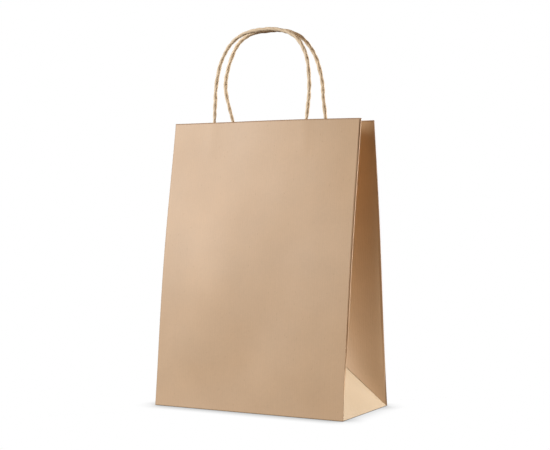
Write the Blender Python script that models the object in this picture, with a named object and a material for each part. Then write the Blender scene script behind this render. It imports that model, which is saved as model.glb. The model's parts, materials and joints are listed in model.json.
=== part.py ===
"""A plain folded-paper gift bag with two twisted paper-cord handles.

The bag stands on its base with its mouth part open. +Z is up, X runs along the front panel and
the front panel faces -Y. The origin is the centre of the base, on the floor. Lengths are metres.

One sheet of paper makes the whole bag, so each flat between two creases is its own object, and
each crease that works as a hinge is the parent of the flats that it moves.
"""

import math

import bmesh
import bpy
from mathutils import Matrix, Vector

# The paper bag
WIDTH = 0.220  # along the front panel
DEPTH = 0.115  # of the base, front to back
PANEL_HEIGHT = 0.305  # up the slope of the front and rear panels
MOUTH_GAP = 0.0358  # between the two panels at their top edges
PAPER = 0.0003  # thickness of one layer
GAP = 0.0003  # between layers that touch on the real bag
HEM_HEIGHT = 0.036  # turned-in strip inside the top edge
HEM_SIDE_INSET = 0.006
SEAM_WIDTH = 0.015  # glue flap that closes the tube
SEAM_SIDE_INSET = 0.003
SEAM_FOOT_CLEARANCE = 0.004  # the glue flap stops this far above the base
BASE_OVERLAP = 0.0125  # how far each base flap passes the middle
BASE_INSET = 0.0014  # base layers stop this far inside the walls
FOLD_INSET = 0.0010  # gusset paper starts this far behind the panel's face
GUSSET_FOOT_SHARE = 0.004  # share of a gusset's height left open along the foot's diagonal crease
GUSSET_HEM_TOP_SHARE = 0.999  # the gusset's hem stops just under its top edge
GUSSET_HEM_SPAN = (0.14, 0.98)  # shares of the gusset half's width that its hem covers
GUSSET_ROWS = 12
GUSSET_COLUMNS = 3
FOOT_CLEARANCE = 0.0005  # the foot triangle starts this far above the floor

# The handles
CORD_RADIUS = 0.0016
CORD_SIDES = 12
BALL_STEPS = 4  # rings from the equator to the pole of a cord's rounded end
LEG_HALF_SPACING = 0.0558  # half the distance between a handle's two legs
ARCH_HEIGHT = 0.100  # above the top edge, along the handle's own slope
ARCH_START = 0.025  # the legs are straight up to here
ARCH_POWER = 2.6  # superellipse power: 2 is a plain ellipse, more is squarer
ARCH_STEPS = 40
LEG_STEPS = 4  # along the straight part of each leg of the loop
ROOT_PIVOT = 0.002  # where the cord starts to bend, above the top edge
SWING_PIVOT = 0.014  # where the free handle swings, above the top edge
NECK_CLEARANCE = 0.0031  # from the top of the neck to the swing axis
PATCH_WIDTH = 0.150
PATCH_HEIGHT = 0.038
PATCH_DROP = 0.008  # from the top edge down to the patch
CORD_END_MARGIN = 0.004  # from the lower end of the cord to the bottom of the patch
COVER_ARC = 90  # degrees of each cord end that the patch's cover strip follows
COVER_STEPS = 6

# Each handle's place and shape: side (-1 front, 1 rear), sideways offset, slope inwards (rise over
# run) and how far its left and right legs belly out
HANDLES = {
    "front": {"side": -1, "offset": -0.0070, "slope": 0.080, "belly": (0.000, 0.000)},
    "rear": {"side": 1, "offset": -0.0010, "slope": 0.130, "belly": (0.005, 0.001)},
}
BELLY_HEIGHT = 0.080  # the legs are back in line at this height above the top edge

# Worked out from the sizes above
HALF_WIDTH = WIDTH / 2
HALF_DEPTH = DEPTH / 2
LEAN = math.asin((DEPTH - MOUTH_GAP) / 2 / PANEL_HEIGHT)  # of the panels, towards each other
TOP_Z = PANEL_HEIGHT * math.cos(LEAN)
FOOT_LEAN = math.acos((1 - math.sin(LEAN)) / math.cos(LEAN))  # of the foot triangles, inwards
LAYER = PAPER + GAP
HEM_OFFSET = LAYER  # inner layers, counted inwards from the panel's outer face
BACKING_OFFSET = 2 * LAYER
COVER_OFFSET = 3 * LAYER
CORD_OFFSET = COVER_OFFSET + CORD_RADIUS

KRAFT = (0.62, 0.43, 0.28, 1)
KRAFT_INSIDE = (0.66, 0.47, 0.31, 1)
CORD_TAN = (0.60, 0.44, 0.28, 1)
SMOOTH_ANGLE = math.radians(40)  # edges flatter than this are shaded smooth


def clear_scene():
    for item in list(bpy.data.objects):
        bpy.data.objects.remove(item, do_unlink=True)


def paper_material(name, colour, roughness):
    material = bpy.data.materials.new(name)
    material.use_nodes = True
    shader = material.node_tree.nodes["Principled BSDF"]
    shader.inputs["Base Color"].default_value = colour
    shader.inputs["Roughness"].default_value = roughness
    shader.inputs["Metallic"].default_value = 0
    return material


def add_empty(name, matrix, parent=None):
    """An axis: its origin is on the crease or pivot, and what it moves is parented to it."""
    empty = bpy.data.objects.new(name, None)
    bpy.context.collection.objects.link(empty)
    empty.parent = parent
    empty.matrix_local = matrix
    return empty


def add_part(name, shape, parent, colour, matrix=None, smooth=False, roughness=0.75):
    """Turn a bmesh into a named object under its parent, with its own material."""
    bmesh.ops.recalc_face_normals(shape, faces=shape.faces)
    mesh = bpy.data.meshes.new(name)
    shape.to_mesh(mesh)
    shape.free()
    if smooth:
        mesh.shade_smooth()
        mesh.set_sharp_from_angle(angle=SMOOTH_ANGLE)
    mesh.materials.append(paper_material(name + "_paper", colour, roughness))
    part = bpy.data.objects.new(name, mesh)
    bpy.context.collection.objects.link(part)
    part.parent = parent
    part.matrix_local = matrix or Matrix.Identity(4)
    return part


def flat_sheet(outline, offset, thickness=PAPER):
    """A flat in the XZ plane with this outline, from y = offset to y = offset + thickness."""
    shape = bmesh.new()
    corners = [shape.verts.new((x, offset, z)) for x, z in outline]
    face = shape.faces.new(corners)
    moved = bmesh.ops.extrude_face_region(shape, geom=[face])["geom"]
    far_side = [item for item in moved if isinstance(item, bmesh.types.BMVert)]
    bmesh.ops.translate(shape, verts=far_side, vec=(0, thickness, 0))
    return shape


def rectangle(low_x, high_x, low_z, high_z):
    return [(low_x, low_z), (high_x, low_z), (high_x, high_z), (low_x, high_z)]


def ruled_sheet(corners, inward, start=0.0, depth=PAPER, top_share=(0.0, 1.0), side_share=(0.0, 1.0)):
    """A gently twisted sheet between two straight edges.

    corners are (panel edge low, panel edge high, crease low, crease high). The sheet runs from
    start to start + depth behind that surface, on the side that inward points to, and covers the
    given shares of its height and width.
    """
    panel_low, panel_high, crease_low, crease_high = corners

    def point(across, up):
        return panel_low.lerp(panel_high, up).lerp(crease_low.lerp(crease_high, up), across)

    def normal(across, up):
        step = 0.001
        side = point(across + step, up) - point(across - step, up)
        rise = point(across, up + step) - point(across, up - step)
        direction = side.cross(rise).normalized()
        return direction if direction.dot(inward) > 0 else -direction

    shape = bmesh.new()
    layers = []
    for distance in (start, start + depth):
        rows = []
        for row in range(GUSSET_ROWS + 1):
            up = top_share[0] + (top_share[1] - top_share[0]) * row / GUSSET_ROWS
            line = []
            for column in range(GUSSET_COLUMNS + 1):
                across = side_share[0] + (side_share[1] - side_share[0]) * column / GUSSET_COLUMNS
                place = point(across, up) + normal(across, up) * distance
                line.append(shape.verts.new(place))
            rows.append(line)
        layers.append(rows)
    for rows in layers:
        for row in range(GUSSET_ROWS):
            for column in range(GUSSET_COLUMNS):
                corner = (rows[row][column], rows[row][column + 1])
                opposite = (rows[row + 1][column + 1], rows[row + 1][column])
                shape.faces.new(corner + opposite)
    outer, inner = layers
    rim = [(0, column) for column in range(GUSSET_COLUMNS)]
    rim += [(row, GUSSET_COLUMNS) for row in range(GUSSET_ROWS)]
    rim += [(GUSSET_ROWS, column) for column in range(GUSSET_COLUMNS, 0, -1)]
    rim += [(row, 0) for row in range(GUSSET_ROWS, 0, -1)]
    for here, there in zip(rim, rim[1:] + rim[:1]):
        shape.faces.new(
            (
                outer[here[0]][here[1]],
                outer[there[0]][there[1]],
                inner[there[0]][there[1]],
                inner[here[0]][here[1]],
            )
        )
    return shape


def rod(path, ball_start=False, ball_end=False):
    """A round cord along a path in the XZ plane, with a half ball on an end that pivots."""
    tangents = []
    for index in range(len(path)):
        before = path[max(index - 1, 0)]
        after = path[min(index + 1, len(path) - 1)]
        tangents.append((after - before).normalized())
    rings = [(place, tangent, CORD_RADIUS) for place, tangent in zip(path, tangents)]

    def ball(place, direction):
        """Rings from the equator to just short of the pole, along direction."""
        made = []
        for step in range(1, BALL_STEPS):
            angle = math.pi / 2 * step / BALL_STEPS
            made.append((place + direction * CORD_RADIUS * math.sin(angle), math.cos(angle)))
        return made

    if ball_start:
        caps = ball(path[0], -tangents[0])
        rings = [(place, tangents[0], CORD_RADIUS * share) for place, share in reversed(caps)] + rings
    if ball_end:
        caps = ball(path[-1], tangents[-1])
        rings += [(place, tangents[-1], CORD_RADIUS * share) for place, share in caps]

    shape = bmesh.new()
    across = Vector((0, 1, 0))
    loops = []
    for place, tangent, radius in rings:
        side = tangent.cross(across)
        loop = []
        for index in range(CORD_SIDES):
            angle = 2 * math.pi * index / CORD_SIDES
            loop.append(shape.verts.new(place + (across * math.cos(angle) + side * math.sin(angle)) * radius))
        loops.append(loop)
    for low, high in zip(loops, loops[1:]):
        for index in range(CORD_SIDES):
            following = (index + 1) % CORD_SIDES
            shape.faces.new((low[index], low[following], high[following], high[index]))
    shape.faces.new(loops[0][::-1])
    shape.faces.new(loops[-1])
    return shape


def mirror_z():
    """Turn a sheet in the XZ plane about X, so that its Z becomes +Y once it is laid flat."""
    return Matrix.Rotation(math.pi, 4, "X")


def build_base():
    """Two outer flaps that overlap under the middle, and two side tucks inside them."""
    base = add_empty("base_axis", Matrix.Identity(4))
    lay_flat = Matrix.Rotation(math.pi / 2, 4, "X")
    root_half = HALF_WIDTH - BASE_INSET
    flap_root = HALF_DEPTH - BASE_INSET
    tip_half = root_half - flap_root - BASE_OVERLAP
    # Rear flap lowest, front flap over it, then the tucks
    for side, name, layer in ((1, "base_flap_rear", 0), (-1, "base_flap_front", 1)):
        outline = [
            (-root_half, side * flap_root),
            (root_half, side * flap_root),
            (tip_half, -side * BASE_OVERLAP),
            (-tip_half, -side * BASE_OVERLAP),
        ]
        lift = Matrix.Translation((0, 0, layer * LAYER + PAPER))
        add_part(name, flat_sheet(outline, 0), base, KRAFT, lift @ lay_flat @ mirror_z())
    tuck_length = HALF_DEPTH + BASE_OVERLAP
    for side, name in ((1, "base_tuck_right"), (-1, "base_tuck_left")):
        ends = sorted((side * root_half, side * (root_half - tuck_length)))
        outline = rectangle(ends[0], ends[1], -flap_root, flap_root)
        lift = Matrix.Translation((0, 0, 2 * LAYER + PAPER))
        add_part(name, flat_sheet(outline, 0), base, KRAFT_INSIDE, lift @ lay_flat @ mirror_z())
    return base


def panel_axis(side, name, base):
    """The crease at the foot of a panel. Under it, +Y points into the bag and Z up the panel."""
    turn = Matrix.Identity(4) if side < 0 else Matrix.Rotation(math.pi, 4, "Z")
    place = Matrix.Translation((0, side * HALF_DEPTH, 0))
    return add_empty(name, place @ turn @ Matrix.Rotation(-LEAN, 4, "X"), base)


def build_panel(name, side, base):
    """A large panel and its turned-in hem."""
    axis = panel_axis(side, name + "_axis", base)
    outline = rectangle(-HALF_WIDTH, HALF_WIDTH, GAP, PANEL_HEIGHT)
    add_part(name, flat_sheet(outline, 0), axis, KRAFT)
    hem_half = HALF_WIDTH - HEM_SIDE_INSET
    outline = rectangle(-hem_half, hem_half, PANEL_HEIGHT - HEM_HEIGHT, PANEL_HEIGHT - GAP)
    hem_name = name.replace("panel", "hem")
    add_part(hem_name, flat_sheet(outline, HEM_OFFSET), axis, KRAFT_INSIDE)
    return axis


def build_seam(rear_axis):
    """The glue flap that closes the tube, inside the rear panel along its left edge."""
    # The rear axis is turned to face the bag, so its +X is the bag's left
    outer = HALF_WIDTH - SEAM_SIDE_INSET
    top = PANEL_HEIGHT - HEM_HEIGHT - GAP
    outline = rectangle(outer - SEAM_WIDTH, outer, SEAM_FOOT_CLEARANCE, top)
    add_part("side_seam_flap", flat_sheet(outline, HEM_OFFSET), rear_axis, KRAFT_INSIDE)


def gusset_corners(side_x, side_y):
    """Panel edge low and high, then centre crease low and high, of one half of a gusset."""
    mouth_half = MOUTH_GAP / 2
    fold_in = math.sqrt(HALF_DEPTH**2 - mouth_half**2)
    apex_x = HALF_WIDTH - HALF_DEPTH * math.sin(FOOT_LEAN)
    apex_z = HALF_DEPTH * math.cos(FOOT_LEAN)
    crease_x = HALF_WIDTH - fold_in
    crease_length = PANEL_HEIGHT - HALF_DEPTH
    crease_z = apex_z + math.sqrt(crease_length**2 - (apex_x - crease_x) ** 2)
    corners = (
        (HALF_WIDTH, FOLD_INSET - HALF_DEPTH, 0),
        (HALF_WIDTH, FOLD_INSET - mouth_half, TOP_Z),
        (apex_x, -GAP, apex_z),
        (crease_x, -GAP, crease_z),
    )
    return [Vector((side_x * x, -side_y * y, z)) for x, y, z in corners]


def build_gusset_half(side_x, side_y, panel):
    """Half of a side gusset, from the panel's edge to the centre crease, with its own hem."""
    names = {(1, -1): "right_gusset_front", (1, 1): "right_gusset_rear"}
    names.update({(-1, -1): "left_gusset_front", (-1, 1): "left_gusset_rear"})
    name = names[side_x, side_y]
    corner = Vector((side_x * HALF_WIDTH, side_y * HALF_DEPTH, 0))
    axis = add_empty(name + "_axis", panel.matrix_world.inverted() @ Matrix.Translation(corner), panel)
    corners = [place - corner for place in gusset_corners(side_x, side_y)]
    inward = Vector((-side_x, side_y, 0))
    add_part(name, ruled_sheet(corners, inward, top_share=(GUSSET_FOOT_SHARE, 1.0)), axis, KRAFT)
    hem_share = (1 - HEM_HEIGHT / PANEL_HEIGHT, GUSSET_HEM_TOP_SHARE)
    hem = ruled_sheet(corners, inward, start=LAYER, top_share=hem_share, side_share=GUSSET_HEM_SPAN)
    add_part(name + "_hem", hem, axis, KRAFT_INSIDE)


def build_foot(side_x, name, base):
    """The flat triangle at the foot of a gusset, hinged on the side edge of the base."""
    turn = Matrix.Rotation(side_x * math.pi / 2, 4, "Z")
    place = Matrix.Translation((side_x * HALF_WIDTH, 0, 0))
    axis = add_empty(name + "_axis", place @ turn @ Matrix.Rotation(-FOOT_LEAN, 4, "X"), base)
    inset = FOLD_INSET + LAYER
    low, high = FOOT_CLEARANCE, HALF_DEPTH - inset + FOOT_CLEARANCE
    outline = [(inset - HALF_DEPTH, low), (HALF_DEPTH - inset, low), (0, high)]
    add_part(name, flat_sheet(outline, 0), axis, KRAFT)


def cover_profile(leg_places, flat, radius):
    """Across the patch: flat at this offset, rising at 45 degrees and over each cord end."""
    drop = CORD_OFFSET - flat
    reach = math.sqrt(2) * radius + drop
    points = [(-PATCH_WIDTH / 2, flat)]
    for leg in leg_places:
        points.append((leg - reach, flat))
        for step in range(COVER_STEPS + 1):
            angle = math.radians(90 + COVER_ARC / 2 - COVER_ARC * step / COVER_STEPS)
            points.append((leg + radius * math.cos(angle), CORD_OFFSET + radius * math.sin(angle)))
        points.append((leg + reach, flat))
    points.append((PATCH_WIDTH / 2, flat))
    return points


def cover_strip(low, high):
    """The upper strip of a handle patch, draped over the two cord ends."""
    legs = (-LEG_HALF_SPACING, LEG_HALF_SPACING)
    near = cover_profile(legs, COVER_OFFSET, CORD_RADIUS + GAP)
    far = cover_profile(legs, COVER_OFFSET + PAPER, CORD_RADIUS + GAP + PAPER)
    shape = bmesh.new()
    rows = []
    for height in (low, high):
        rows.append([[shape.verts.new((x, y, height)) for x, y in line] for line in (near, far)])
    (low_near, low_far), (high_near, high_far) = rows
    for index in range(len(near) - 1):
        pair = (index, index + 1)
        shape.faces.new([low_near[pair[0]], low_near[pair[1]], high_near[pair[1]], high_near[pair[0]]])
        shape.faces.new([low_far[pair[0]], low_far[pair[1]], high_far[pair[1]], high_far[pair[0]]])
        shape.faces.new([low_near[pair[0]], low_near[pair[1]], low_far[pair[1]], low_far[pair[0]]])
        shape.faces.new([high_near[pair[0]], high_near[pair[1]], high_far[pair[1]], high_far[pair[0]]])
    for end in (0, -1):
        shape.faces.new([low_near[end], low_far[end], high_far[end], high_near[end]])
    return shape


def handle_path(belly, facing):
    """The moving loop, from the left swing pivot over the arch to the right one.

    It is drawn in the handle's own plane, with z measured up from the top edge. facing is 1 where
    the handle's +X is the bag's +X and -1 where it is turned round.
    """
    rise = ARCH_HEIGHT - ARCH_START
    points = []
    for step in range(LEG_STEPS):
        points.append((-1.0, SWING_PIVOT + (ARCH_START - SWING_PIVOT) * step / LEG_STEPS))
    for step in range(ARCH_STEPS + 1):
        angle = math.pi * step / ARCH_STEPS
        across = -math.copysign(abs(math.cos(angle)) ** (2 / ARCH_POWER), math.cos(angle))
        points.append((across, ARCH_START + rise * math.sin(angle) ** (2 / ARCH_POWER)))
    for step in reversed(range(LEG_STEPS)):
        points.append((1.0, SWING_PIVOT + (ARCH_START - SWING_PIVOT) * step / LEG_STEPS))
    path = []
    for across, height in points:
        left_side = (across < 0) == (facing > 0)
        bulge = belly[0] if left_side else belly[1]
        share = math.sin(math.pi * height / BELLY_HEIGHT) ** 2 if height < BELLY_HEIGHT else 0
        path.append(Vector((across * (LEG_HALF_SPACING + bulge * share), 0, height)))
    return path


def build_handle(name, panel):
    """A handle: its two patch strips and cord ends on the panel, two necks, and the loop."""
    shape = HANDLES[name]
    facing = -shape["side"]
    centre = facing * shape["offset"]
    patch_top = PANEL_HEIGHT - PATCH_DROP
    patch_low = patch_top - PATCH_HEIGHT
    shift = Matrix.Translation((centre, 0, 0))
    half = PATCH_WIDTH / 2
    backing = flat_sheet(rectangle(-half, half, patch_low, patch_top), BACKING_OFFSET)
    add_part(name + "_patch_backing", backing, panel, KRAFT_INSIDE, shift)
    add_part(name + "_patch_cover", cover_strip(patch_low, patch_top), panel, KRAFT_INSIDE, shift)

    # The cord leaves the panel's slope at the root pivot and takes up the handle's own slope
    root_place = Matrix.Translation((centre, CORD_OFFSET, PANEL_HEIGHT + ROOT_PIVOT))
    turn_out = Matrix.Rotation(LEAN - math.atan(shape["slope"]), 4, "X")
    root = add_empty(name + "_neck_axis", root_place @ turn_out, panel)
    swing_place = Matrix.Translation((0, 0, SWING_PIVOT - ROOT_PIVOT))
    swing = add_empty(name + "_handle_axis", swing_place, root)

    end_low = patch_low + CORD_END_MARGIN
    end_high = PANEL_HEIGHT + ROOT_PIVOT - CORD_RADIUS - GAP
    neck_high = SWING_PIVOT - ROOT_PIVOT - NECK_CLEARANCE
    for side, word in ((-1, "left"), (1, "right")):
        leg = facing * side * LEG_HALF_SPACING
        end_path = [Vector((centre + leg, CORD_OFFSET, height)) for height in (end_low, end_high)]
        add_part(name + "_cord_end_" + word, rod(end_path), panel, CORD_TAN, smooth=True)
        neck_path = [Vector((leg, 0, height)) for height in (0, neck_high)]
        add_part(name + "_cord_neck_" + word, rod(neck_path, ball_start=True), root, CORD_TAN, smooth=True)
    loop = handle_path(shape["belly"], facing)
    down = Matrix.Translation((0, 0, -SWING_PIVOT))
    moved = [down @ place for place in loop]
    add_part(name + "_cord_loop", rod(moved, ball_start=True, ball_end=True), swing, CORD_TAN, smooth=True)


def main():
    clear_scene()
    base = build_base()
    panels = {}
    for name, shape in HANDLES.items():
        panels[shape["side"]] = build_panel(name + "_panel", shape["side"], base)
    build_seam(panels[1])
    bpy.context.view_layer.update()
    for side_x in (1, -1):
        for side_y in (-1, 1):
            build_gusset_half(side_x, side_y, panels[side_y])
    build_foot(1, "right_foot_triangle", base)
    build_foot(-1, "left_foot_triangle", base)
    for name, shape in HANDLES.items():
        build_handle(name, panels[shape["side"]])
    bpy.context.view_layer.update()


main()
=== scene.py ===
"""The looks of the gift bag: one folded sheet of kraft paper and two twisted paper cords.

Every sheet is a thin closed solid lofted over a curved surface: the panels bow outwards, each
gusset half leaves its panel square and curls in to the centre crease, and the top edge is turned
over into a hem. The sheets of one bag side follow the CAD bodies. Lengths are in metres.
"""

import json
import math

import bpy
import numpy as np
from mathutils import Matrix, Vector, noise


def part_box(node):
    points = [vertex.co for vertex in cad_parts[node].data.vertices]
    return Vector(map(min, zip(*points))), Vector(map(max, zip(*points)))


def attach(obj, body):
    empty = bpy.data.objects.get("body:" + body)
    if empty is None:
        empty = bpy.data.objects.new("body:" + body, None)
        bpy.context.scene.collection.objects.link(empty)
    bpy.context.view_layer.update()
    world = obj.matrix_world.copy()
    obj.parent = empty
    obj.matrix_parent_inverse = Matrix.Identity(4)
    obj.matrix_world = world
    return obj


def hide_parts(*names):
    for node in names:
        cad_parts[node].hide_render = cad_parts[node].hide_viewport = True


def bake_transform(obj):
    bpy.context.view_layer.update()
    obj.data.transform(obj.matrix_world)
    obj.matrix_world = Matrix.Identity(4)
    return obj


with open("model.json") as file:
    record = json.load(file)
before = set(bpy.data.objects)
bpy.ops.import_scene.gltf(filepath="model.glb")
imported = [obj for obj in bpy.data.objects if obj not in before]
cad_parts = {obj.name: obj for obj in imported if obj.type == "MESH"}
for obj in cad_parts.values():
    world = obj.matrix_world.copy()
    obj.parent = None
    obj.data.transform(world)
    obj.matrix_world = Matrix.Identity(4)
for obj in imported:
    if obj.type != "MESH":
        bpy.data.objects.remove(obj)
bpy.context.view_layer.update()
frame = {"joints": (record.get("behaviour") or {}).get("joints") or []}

# Sizes read from the frame
JOINTS = {joint["name"]: joint for joint in frame["joints"]}
FRONT_LOW, FRONT_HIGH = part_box("front_panel")
PAPER = 0.0003  # thickness of a sheet, as in the CAD
HALF_WIDTH = FRONT_HIGH.x
HALF_DEPTH = -FRONT_LOW.y
TOP_Z = FRONT_HIGH.z
MOUTH_HALF = PAPER - FRONT_HIGH.y
PANEL_HEIGHT = math.hypot(TOP_Z, HALF_DEPTH - MOUTH_HALF)
LEAN = math.atan2(HALF_DEPTH - MOUTH_HALF, TOP_Z)
FOOT_LEAN = math.acos((1 - math.sin(LEAN)) / math.cos(LEAN))
SHEET_WIDTH = 2 * HALF_WIDTH

# Names of the two ends by the sign of y, and of the two sides by the sign of x
END = {-1: "front", 1: "rear"}
SIDE = {-1: "left", 1: "right"}

# The panels and the hem
LAYER = 2 * PAPER  # a sheet and the gap behind it
HEM_HEIGHT = 0.036
HEM_RADIUS = 0.00045  # of the fold over the top edge
GUSSET_HEM_SPAN = (0.06, 0.985)  # the gusset's hem stops short of both folds
FRONT_BOW = 0.0036  # outward bow of the front panel at mid height
FRONT_BOW_SKEW = 0.0006  # more on the left, less on the right
REAR_BOW = 0.0015
REAR_BOW_WAVE = 0.0011  # the rear panel sits in below and out above
BOW_POWER = 1.5  # above 1, the bow starts gently at the foot and at the mouth
MOUTH_BOW = 0.0028  # outward bow of the mouth's edge at its fullest
MOUTH_BOW_POWER = 3  # how fast it fades downwards
MOUTH_SKEW = {"front": 1.5, "rear": 1}  # above 1, that bow is fullest right of the middle
DENT = 0.0018  # height of the broad, shallow dents in each panel
DENT_SIZE = 0.11
WRINKLE = 0.00025  # height of the smaller unevenness in each sheet
WRINKLE_SIZE = 0.045
UNEVEN_SIZE = 0.07  # of the base's and the gussets' unevenness
UNEVEN_STRETCH = 1.3  # dents are this much longer upwards than across
SEED = {"dent": 5, "wrinkle": 15, "ripple": 11, "flap": 21, "tuck": 31}  # of their noise
STIFF_FOOT = 0.15  # share of a panel's height over which the base holds it flat
CORD_RIDGE = (0.00014, 0.007)  # where a panel lies over a glued cord end: height, half width
CORD_RIDGE_FADE = 0.01  # height over which that ridge rises at its lower end
FOLD_INSET = 0.0011  # the front right fold sits this far in, and the gusset swells out past it
FOLD_INSET_FADE = 0.12  # share of the panel's height over which it moves in
FOOT_CURL = (0.0007, 0.0003, 0.0001)  # a panel's lowest edge: height of its curl, inwards, up

# The gusset halves
SHOULDER = {"front": 0.009, "rear": 0.004}  # how far a half runs straight back before it curls in
SHOULDER_FADE = 0.16  # share of the gusset's height over which the shoulder grows
LOW_PULL = 0.30  # at its foot a half leaves its panel straight towards the crease
CREASE_PULL = 0.42  # how much of a half runs straight in to the centre crease
CREASE_BOW = 0.0012  # outward bow of the centre crease
CREASE_GAP = 0.0001  # from a half's edge to the middle of the bag
GUSSET_RIPPLE = 2 * WRINKLE  # height of a half's own unevenness
GUSSET_TUCK = (0.0002, 0.0004)  # a half's outer edge from its panel's edge: inwards, back
GROOVE = (0.0008, 0.0006, 0.0002)  # beside a panel's fold: distance, half width, depth
BULGE = (0.0040, 0.0024, 0.0016)  # behind the groove: distance, half width, height
SWELL = {"front": 1.0, "rear": 0.4}  # how much of the groove and the bulge each fold has
SWELL_FADE = 0.3  # share of the gusset's height over which they grow
CREASE_LAP = (  # how the front half laps behind the rear half's edge: inwards, across
    (0.0003, 0.0000),
    (0.0006, 0.0001),
    (0.0008, 0.0005),
    (0.0009, 0.0010),
    (0.0010, 0.0015),
)
LAP_START = 0.04  # share of the gusset's height where the lap starts to run across
LAP_GROWTH = 0.06  # share of the height over which it grows from there
LAP_STEP = 0.00001  # keeps the lap's columns apart below that

# The foot triangles and the base
FOOT_LAP = 0.0022  # the foot triangle runs this far behind the gusset's lower edges
FOOT_LAP_START = 0.012  # height at which that lap has its full width
LAP_SLOPE = 0.9  # how steeply that lap bends away inwards
FOOT_DISH = 0.0007  # hollow of the foot triangle
FOOT_INSET = 0.00035  # of its face from the bag's side
FOOT_TRIM = 0.0007  # taken off each of its sloping edges
TIP_TRIM = 0.0006  # and off its tip
FOOT_START = 0.0004  # height of its lowest edge, and the least half width of its tip
FLAP_LIFT = 0.00012  # mean rise of the front flap's free edge over the rear flap
FLAP_CLEARANCE = 0.00005  # of the base's flaps above the floor
TUCK_LIFT = 0.0009  # rise of a side tuck's free end
TUCK_UNEVEN = 0.4  # how much that rise varies

# How dark the folds are painted, partly crushed fibres and partly painted shade, and how wide that darkness
# is
CREASE_WIDTH = 0.0005
EDGE_SHADE = {"front": 0.0009, "rear": 0.0018}  # its width on a gusset's outer edges
FOLD_SHADE = {  # how far each fold goes towards the darker fold colour: crushed fibres plus painted shade
    "left": 0.4,
    "panel_foot": 0.15,
    "rim": 0.4,
    "hem": 0.55,
    "centre_crease": 0.6,
    "diagonal": 0.35,
    "triangle_foot": 0.5,
    "flap_side": 0.7,
    "flap_foot": 0.6,
}
HEM_SHADE_WIDTH = 0.0004
FRONT_FOLD_DARKNESS = (0.65, 0.35, 0.8)  # painted on the front folds, crushed fibres plus painted shade: middle value, swing, share of the height at its most
SWELL_HIGHLIGHT = {"front": 0.8, "rear": 0.0}  # painted highlight on the swelling behind a panel's fold: how much each fold has
SWELL_HIGHLIGHT_GAIN = 1.5  # and how much lighter that painted highlight makes the paper

# Where the grain of the smaller pieces lies on the paper
GRAIN = {"hem": 3, "foot": 5, "gusset": 7, "tuck": 9, "strip": 15}  # layer of the noise
HEM_GRAIN_LENGTH = 0.2
GUSSET_GRAIN_HEIGHT = 0.25
STRIP_GRAIN_SCALE = 1.3

# How finely the sheets are divided
PANEL_ROWS = 84
PANEL_COLUMNS = 96
GUSSET_COLUMNS = 34
HEM_TURN_STEPS = 10
HEM_ROWS = 14
HEM_COLUMNS = 48
FOOT_ROWS = 36
FOOT_COLUMNS = 30
BASE_ROWS = 30
FLAP_COLUMNS = 44
STRIP_ROWS = 26
STRIP_COLUMNS = 90
SHARP_ANGLE = 35  # degrees; the edges of a sheet are sharper than this

# The handles
CORD_RADIUS = 0.0021
GLUED_RADIUS = 0.0016  # where the cord is pressed flat inside its patch
GLUED_FADE = 0.01  # height above the mouth at which it is round again
CORD_STRANDS = 2
CORD_PITCH = 0.022  # one full turn of the strands
CORD_SIDES = 44
RING_STEP = 0.0007
CORD_SMOOTHING = 6  # rounds of evening out the centre line
SAME_PLACE = 1e-7  # points of the centre line nearer than this are one
LEG_STEPS = 24
RISE_STEPS = 14
LOOP_STEPS = 160
STRAND_OFFSET = 0.19  # of a strand's centre from the cord's, as a share of the cord's radius
STRAND_WRINKLES = ((0.02, 5, 0), (0.012, 9, 1))  # size, number around the cord, phase
GROOVE_START = 0.62  # where the painted shade in the groove between the strands starts
CORD_UNEVEN = {  # length along the cord, size, layer of the noise
    "slow_bend": (0.022, 0.0004, 0.5),
    "quick_bend": (0.008, 0.0002, 2.5),
    "forward_bend": (0.022, 0.0003, 7.5),
    "swell": (0.012, 0.13, 4.5),
    "twist": (0.03, 2.2, 9.5),
}
ARCH_START = 0.025  # heights above the mouth: where a loop's arch begins,
ARCH_HEIGHT = 0.0995  # where it ends,
BELLY_HEIGHT = 0.080  # and up to where its legs bulge outwards
ROOT_RISE = 0.002  # the root pivot is this far above the top edge
LEG_SHARE = 0.48  # where a lower leg ends and the loop begins, between the two pivots
ROOT_BEND = (0.0045, 0.0045)  # how far below and above its pivot a cord bends
SWING_BEND = (0.0055, 0.0080)
DRAPE_REACH = 0.0052  # the cover strip comes down to the backing this far from a cord's middle
DRAPE_POWER = 0.8  # below 1, the cover strip is full over the cord
DRAPE_CLEARANCE = 0.0004  # between the cord and the cover strip
# slope: lean into the bag; belly: bulge of the left and the right leg; sway: drift to the right
# with height; power: above 2, the arch is squarer than an ellipse
HANDLES = {
    "front": {"side": -1, "slope": 0.08, "belly": (0.0008, 0.0000), "sway": 0.006, "power": 2.7, "seed": 3},
    "rear": {"side": 1, "slope": 0.13, "belly": (0.0050, 0.0010), "sway": -0.034, "power": 2.8, "seed": 8},
}
CORD_ENDS = {
    name: [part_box(f"{name}_cord_end_{word}") for word in ("left", "right")] for name in HANDLES
}

# Colours
PAPERS = {  # colour, roughness, how fibrous, how shiny
    "kraft_outside": ((0.597, 0.407, 0.240), 0.48, 1.0, 0.5),
    # the foot triangles' paper: a paler, less saturated copy of the outside paper, as painted sheen
    "kraft_foot_painted_sheen": ((0.525, 0.408, 0.26), 0.48, 1.0, 0.5),
    "kraft_inside": ((0.60, 0.39, 0.235), 0.62, 1.3, 0.3),
    "kraft_patch": ((0.56, 0.36, 0.21), 0.65, 1.4, 0.25),
}
FLECK_SHADE = (0.62, 0.55, 0.48)  # of the dark flecks, as a share of the paper's colour
FOLD_WEAR_AND_SHADE = (0.38, 0.28, 0.20)  # of a fold: crushed fibres plus painted shade
CORD_COLOUR = (0.80, 0.65, 0.46)
GROOVE_PAINTED_SHADE = (0.58, 0.52, 0.44)  # painted shade between the strands
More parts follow.
